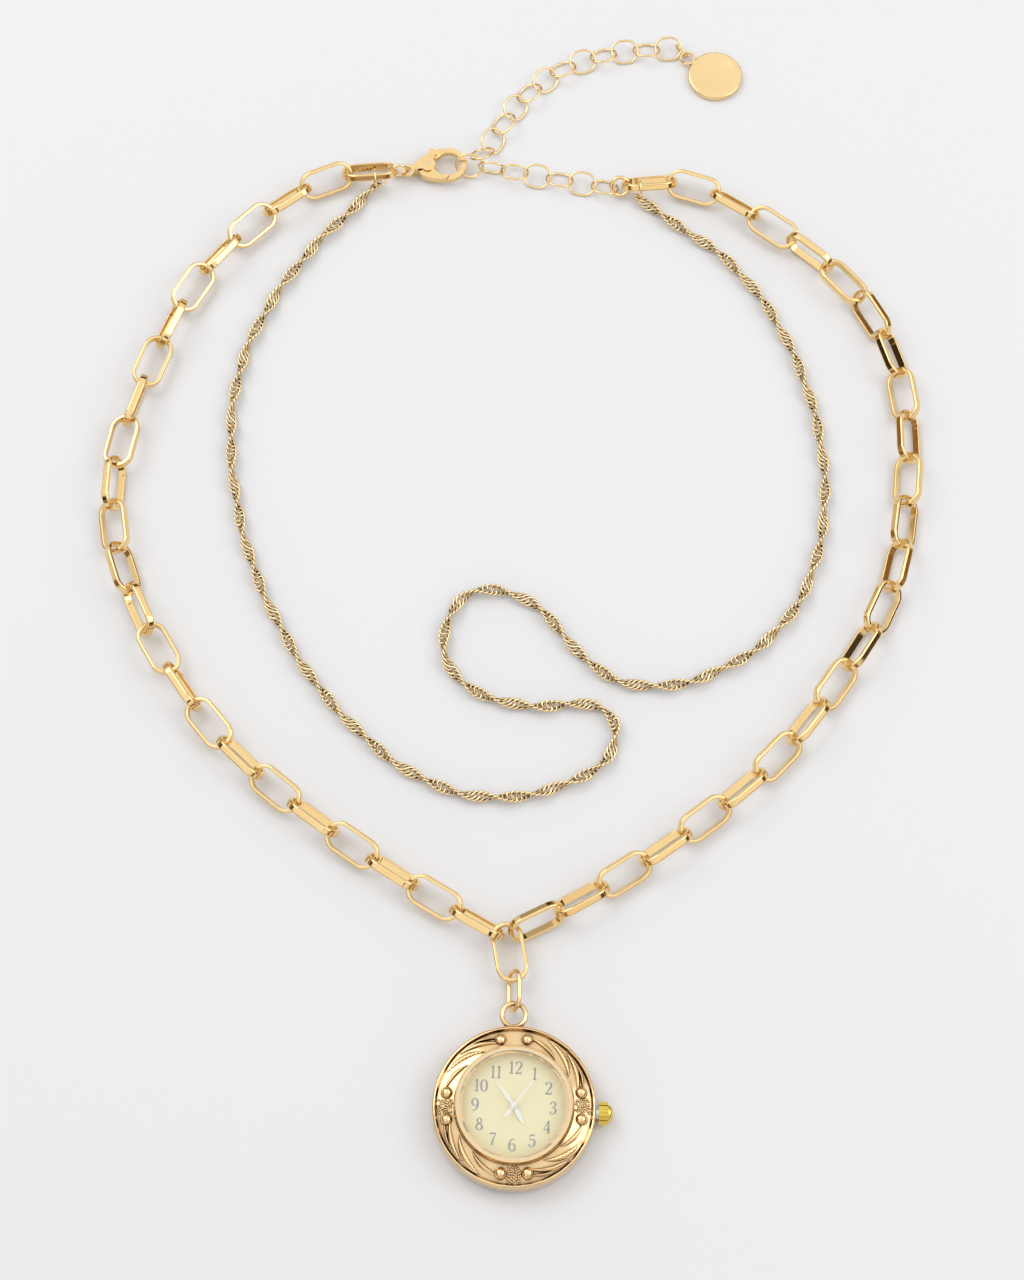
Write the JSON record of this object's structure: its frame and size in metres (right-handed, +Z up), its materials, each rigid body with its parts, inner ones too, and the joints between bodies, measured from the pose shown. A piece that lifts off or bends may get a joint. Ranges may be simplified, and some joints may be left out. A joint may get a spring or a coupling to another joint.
{
  "type": "pendant watch necklace",
  "caption": "Layered necklace of paperclip links and a fine twisted chain, with a lobster clasp, an extender and a round quartz watch pendant with a domed crown.",
  "frame": {"origin": "centre of the case back's resting face, on the table", "axes": "+X towards the crown, +Y from the watch up to the clasp, +Z up through the crystal"},
  "size_m": [0.1479, 0.2211, 0.0069],
  "materials": {
    "plated_links": "polished light gold plating",
    "plated_wire": "polished light gold plating",
    "plated_clasp": "polished light gold plating on a cast body",
    "steel_pin": "turned steel",
    "spring_steel": "spring strip",
    "plated_tag": "polished light gold plating",
    "plated_twisted": "polished light gold plating",
    "plated_case": "polished light gold plating over cast relief",
    "steel_back": "brushed",
    "mineral_glass": "clear",
    "gasket_nylon": "pale, matt",
    "plated_inner_bezel": "satin",
    "champagne_dial": "satin champagne enamel with grey-lilac hour numbers",
    "white_hands": "white lacquer",
    "plated_crown": "polished gold plating",
    "movement_plastic": "moulded",
    "bridge_steel": "stamped",
    "cell_steel": "bright nickel plated",
    "coil_copper": "enamelled copper wire",
    "stator_iron": "stamped soft iron",
    "rotor_magnet": "sintered magnet",
    "board_laminate": "green laminate",
    "wheel_brass": "cut brass"
  },
  "bodies": {
    "laid_chain": {"left_chain_links": "plated_links", "right_chain_links": "plated_links", "clasp_ring": "plated_wire", "clasp_body": "plated_clasp", "clasp_pin": "steel_pin", "clasp_spring": "spring_steel", "extender_links": "plated_wire", "extender_ring": "plated_wire", "left_twist_ring": "plated_wire", "right_twist_ring": "plated_wire", "twisted_chain": "plated_twisted"},
    "clasp_lever": {"clasp_trigger": "plated_clasp"},
    "pendant_piece": {"pendant_link": "plated_links"},
    "ring_piece": {"watch_ring": "plated_wire"},
    "watch": {"case_ring": "plated_case", "case_back": "steel_back", "crystal": "mineral_glass", "crystal_gasket": "gasket_nylon", "inner_bezel": "plated_inner_bezel", "dial": "champagne_dial", "movement_holder": "movement_plastic", "movement_plate": "movement_plastic", "movement_bridge": "bridge_steel", "bridge_screws": "steel_pin", "battery_cell": "cell_steel", "battery_contact": "spring_steel", "coil": "coil_copper", "stator": "stator_iron", "circuit_board": "board_laminate", "crown_tube": "plated_crown"},
    "lever_piece": {"setting_lever": "steel_pin"},
    "crown_piece": {"crown": "plated_crown", "stem": "steel_pin"},
    "hours": {"hour_wheel": "wheel_brass", "hour_hand": "white_hands"},
    "minutes": {"centre_wheel": "wheel_brass", "minute_hand": "white_hands"},
    "seconds": {"second_wheel": "wheel_brass", "second_hand": "white_hands"},
    "motion_wheel": {"minute_wheel": "wheel_brass"},
    "third_piece": {"third_wheel": "movement_plastic"},
    "intermediate_piece": {"intermediate_wheel": "movement_plastic"},
    "rotor_piece": {"rotor": "rotor_magnet"},
    "tail_01": {"tail_link_01": "plated_wire"},
    "tail_02": {"tail_link_02": "plated_wire"},
    "tail_03": {"tail_link_03": "plated_wire"},
    "tail_04": {"tail_link_04": "plated_wire"},
    "tail_05": {"tail_link_05": "plated_wire"},
    "tail_06": {"tail_link_06": "plated_wire"},
    "tail_07": {"tail_link_07": "plated_wire"},
    "tail_08": {"tail_link_08": "plated_wire"},
    "tail_09": {"tail_link_09": "plated_wire"},
    "tail_10": {"tail_link_10": "plated_wire"},
    "tail_11": {"tail_link_11": "plated_wire"},
    "tail_12": {"tail_link_12": "plated_wire"},
    "tag_ring_piece": {"tag_ring": "plated_wire"},
    "tag": {"end_tag": "plated_tag"}
  },
  "joints": [
    {"name": "trigger_swing", "type": "hinge", "parent": "laid_chain", "child": "clasp_lever", "pos_m": [-0.01615, 0.17915, 0.0017], "axis": [0, 0, 1], "range_deg": [0, 22], "stiffness_Nm_per_rad": 0.0003, "springref_deg": -6.88},
    {"name": "pendant_swing", "type": "hinge", "parent": "laid_chain", "child": "pendant_piece", "pos_m": [-0.00114, 0.02902, 0.0024], "axis": [0, 0, 1], "range_deg": [-8, 8]},
    {"name": "ring_swing", "type": "hinge", "parent": "pendant_piece", "child": "ring_piece", "pos_m": [-0.0003, 0.0229, 0.0024], "axis": [0, 0, 1], "range_deg": [-12, 12]},
    {"name": "watch_lift", "type": "hinge", "parent": "ring_piece", "child": "watch", "pos_m": [0, 0.01769, 0.0027], "axis": [-1, 0, 0], "range_deg": [0, 75]},
    {"name": "crown_push", "type": "slide", "parent": "watch", "child": "lever_piece", "axis": [0.9989, -0.0471, 0], "range_m": [-0.0003, 0]},
    {"name": "crown_turn", "type": "hinge", "parent": "lever_piece", "child": "crown_piece", "pos_m": [0, 0, 0.002], "axis": [0.9989, -0.0471, 0], "continuous": true},
    {"name": "second_turn", "type": "hinge", "parent": "watch", "child": "seconds", "pos_m": [0, 0, 0], "axis": [0, 0, -1], "continuous": true},
    {"name": "minute_turn", "type": "hinge", "parent": "watch", "child": "minutes", "pos_m": [0, 0, 0], "axis": [0, 0, -1], "continuous": true},
    {"name": "hour_turn", "type": "hinge", "parent": "watch", "child": "hours", "pos_m": [0, 0, 0], "axis": [0, 0, -1], "continuous": true},
    {"name": "motion_wheel_turn", "type": "hinge", "parent": "watch", "child": "motion_wheel", "pos_m": [0.00105, 0.00164, 0], "axis": [0, 0, -1], "continuous": true},
    {"name": "third_turn", "type": "hinge", "parent": "watch", "child": "third_piece", "pos_m": [0.00012, 0.0026, 0], "axis": [0, 0, -1], "continuous": true},
    {"name": "intermediate_turn", "type": "hinge", "parent": "watch", "child": "intermediate_piece", "pos_m": [-0.00243, -0.00076, 0], "axis": [0, 0, -1], "continuous": true},
    {"name": "rotor_turn", "type": "hinge", "parent": "watch", "child": "rotor_piece", "pos_m": [-0.00418, -0.00068, 0], "axis": [0, 0, -1], "continuous": true},
    {"name": "tail_swing_01", "type": "hinge", "parent": "laid_chain", "child": "tail_01", "pos_m": [-0.00696, 0.18013, 0.00315], "axis": [0, 0, 1], "range_deg": [-2, 12]},
    {"name": "tail_swing_02", "type": "hinge", "parent": "tail_01", "child": "tail_02", "pos_m": [-0.00492, 0.18327, 0.00125], "axis": [0, 0, 1], "range_deg": [-2, 12]},
    {"name": "tail_swing_03", "type": "hinge", "parent": "tail_02", "child": "tail_03", "pos_m": [-0.00295, 0.18697, 0.00125], "axis": [0, 0, 1], "range_deg": [-2, 12]},
    {"name": "tail_swing_04", "type": "hinge", "parent": "tail_03", "child": "tail_04", "pos_m": [-0.00092, 0.19064, 0.00125], "axis": [0, 0, 1], "range_deg": [-2, 12]},
    {"name": "tail_swing_05", "type": "hinge", "parent": "tail_04", "child": "tail_05", "pos_m": [0.00155, 0.19403, 0.00125], "axis": [0, 0, 1], "range_deg": [-2, 12]},
    {"name": "tail_swing_06", "type": "hinge", "parent": "tail_05", "child": "tail_06", "pos_m": [0.00441, 0.1971, 0.00125], "axis": [0, 0, 1], "range_deg": [-2, 12]},
    {"name": "tail_swing_07", "type": "hinge", "parent": "tail_06", "child": "tail_07", "pos_m": [0.00757, 0.19985, 0.00125], "axis": [0, 0, 1], "range_deg": [-2, 12]},
    {"name": "tail_swing_08", "type": "hinge", "parent": "tail_07", "child": "tail_08", "pos_m": [0.01124, 0.20188, 0.00125], "axis": [0, 0, 1], "range_deg": [-2, 12]},
    {"name": "tail_swing_09", "type": "hinge", "parent": "tail_08", "child": "tail_09", "pos_m": [0.01518, 0.20331, 0.00125], "axis": [0, 0, 1], "range_deg": [-2, 12]},
    {"name": "tail_swing_10", "type": "hinge", "parent": "tail_09", "child": "tail_10", "pos_m": [0.01919, 0.20454, 0.00125], "axis": [0, 0, 1], "range_deg": [-2, 12]},
    {"name": "tail_swing_11", "type": "hinge", "parent": "tail_10", "child": "tail_11", "pos_m": [0.02335, 0.20505, 0.00125], "axis": [0, 0, 1], "range_deg": [-2, 12]},
    {"name": "tail_swing_12", "type": "hinge", "parent": "tail_11", "child": "tail_12", "pos_m": [0.02754, 0.20527, 0.00125], "axis": [0, 0, 1], "range_deg": [-2, 12]},
    {"name": "tag_ring_swing", "type": "hinge", "parent": "tail_12", "child": "tag_ring_piece", "pos_m": [0.03145, 0.20537, 0.00125], "axis": [0, 0, 1], "range_deg": [-2, 12]},
    {"name": "tag_swing", "type": "hinge", "parent": "tag_ring_piece", "child": "tag", "pos_m": [0.033, 0.2037, 0.0012], "axis": [0, 0, 1], "range_deg": [-20, 20]}
  ],
  "couplings": [
    {"joint": "minute_turn", "follows": "second_turn", "ratio": 0.016667},
    {"joint": "hour_turn", "follows": "second_turn", "ratio": 0.0013889},
    {"joint": "motion_wheel_turn", "follows": "second_turn", "ratio": -0.0055556},
    {"joint": "third_turn", "follows": "second_turn", "ratio": -0.13333},
    {"joint": "intermediate_turn", "follows": "second_turn", "ratio": -5},
    {"joint": "rotor_turn", "follows": "second_turn", "ratio": 30}
  ]
}
